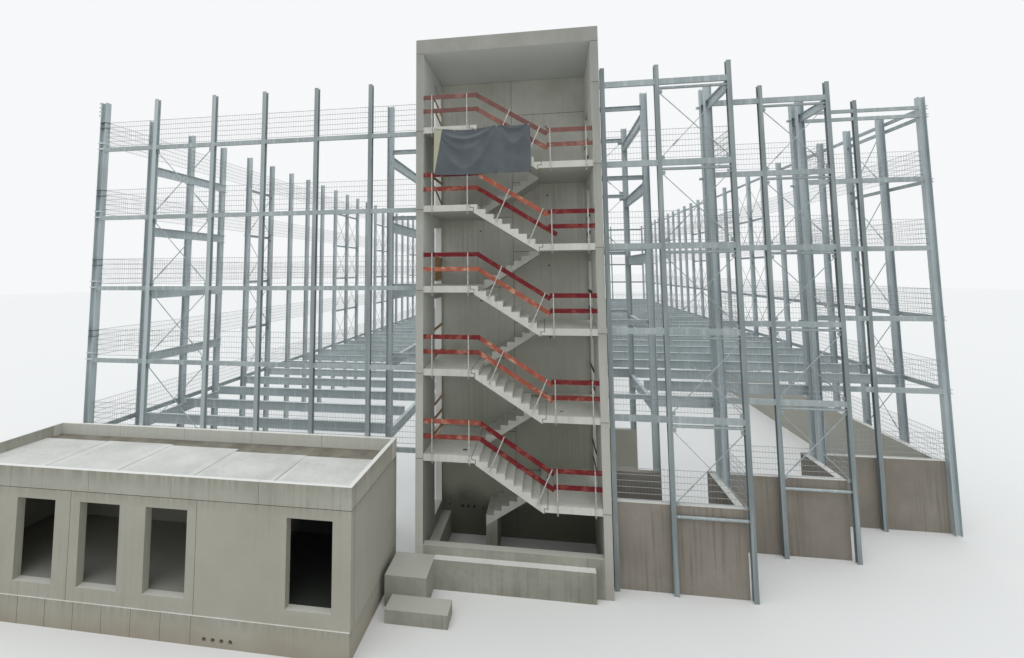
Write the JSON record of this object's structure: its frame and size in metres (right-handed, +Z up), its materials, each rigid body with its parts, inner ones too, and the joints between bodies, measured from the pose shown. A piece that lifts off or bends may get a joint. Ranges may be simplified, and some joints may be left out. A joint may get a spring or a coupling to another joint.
{
  "type": "multi storey car park, scale model 1:2",
  "caption": "Split level steel car park frame with an open precast stair tower and a flat annexe, scale model 1:2.",
  "frame": {"origin": "on the ground under the middle of the stair tower's open front", "axes": "+Z up, -Y towards the viewer at the stair tower's open front, +X to the right along the front"},
  "size_m": [17.161, 34.731, 9.245],
  "materials": {
    "concrete": "matte",
    "white_panels": "matte",
    "red_boards": "painted",
    "dark_sheet": "matte",
    "dull_steel": "satin",
    "galvanised_steel": "satin"
  },
  "bodies": {
    "root": {"tower_left_wall": "concrete", "tower_right_wall": "concrete", "tower_back_wall": "concrete", "tower_roof": "concrete", "tower_base": "concrete", "left_landings": "concrete", "right_landings": "concrete", "front_flights": "concrete", "rear_flights": "concrete", "guard_posts": "dull_steel", "landing_boards": "red_boards", "flight_boards": "red_boards", "banner_sheet": "dark_sheet", "left_columns": "galvanised_steel", "right_columns": "galvanised_steel", "middle_columns": "galvanised_steel", "ramp_columns": "galvanised_steel", "left_front_posts": "galvanised_steel", "right_front_posts": "galvanised_steel", "rear_posts": "galvanised_steel", "left_front_beams": "galvanised_steel", "right_front_beams": "galvanised_steel", "rear_beams": "galvanised_steel", "left_edge_beams": "galvanised_steel", "right_edge_beams": "galvanised_steel", "left_deck_beams": "galvanised_steel", "right_deck_beams": "galvanised_steel", "left_header_beams": "galvanised_steel", "step_beams": "galvanised_steel", "ramp_beams": "galvanised_steel", "left_brace_rods": "galvanised_steel", "right_brace_rods": "galvanised_steel", "side_brace_rods": "galvanised_steel", "strut_tubes": "galvanised_steel", "left_side_wires": "galvanised_steel", "right_side_wires": "galvanised_steel", "left_front_wires": "galvanised_steel", "right_front_wires": "galvanised_steel", "rear_wires": "galvanised_steel", "plinth_walls": "concrete", "annexe_front_wall": "concrete", "annexe_side_walls": "concrete", "annexe_back_wall": "concrete", "annexe_floor": "concrete", "annexe_roof": "concrete", "annexe_edge_panels": "white_panels"}
  },
  "joints": []
}
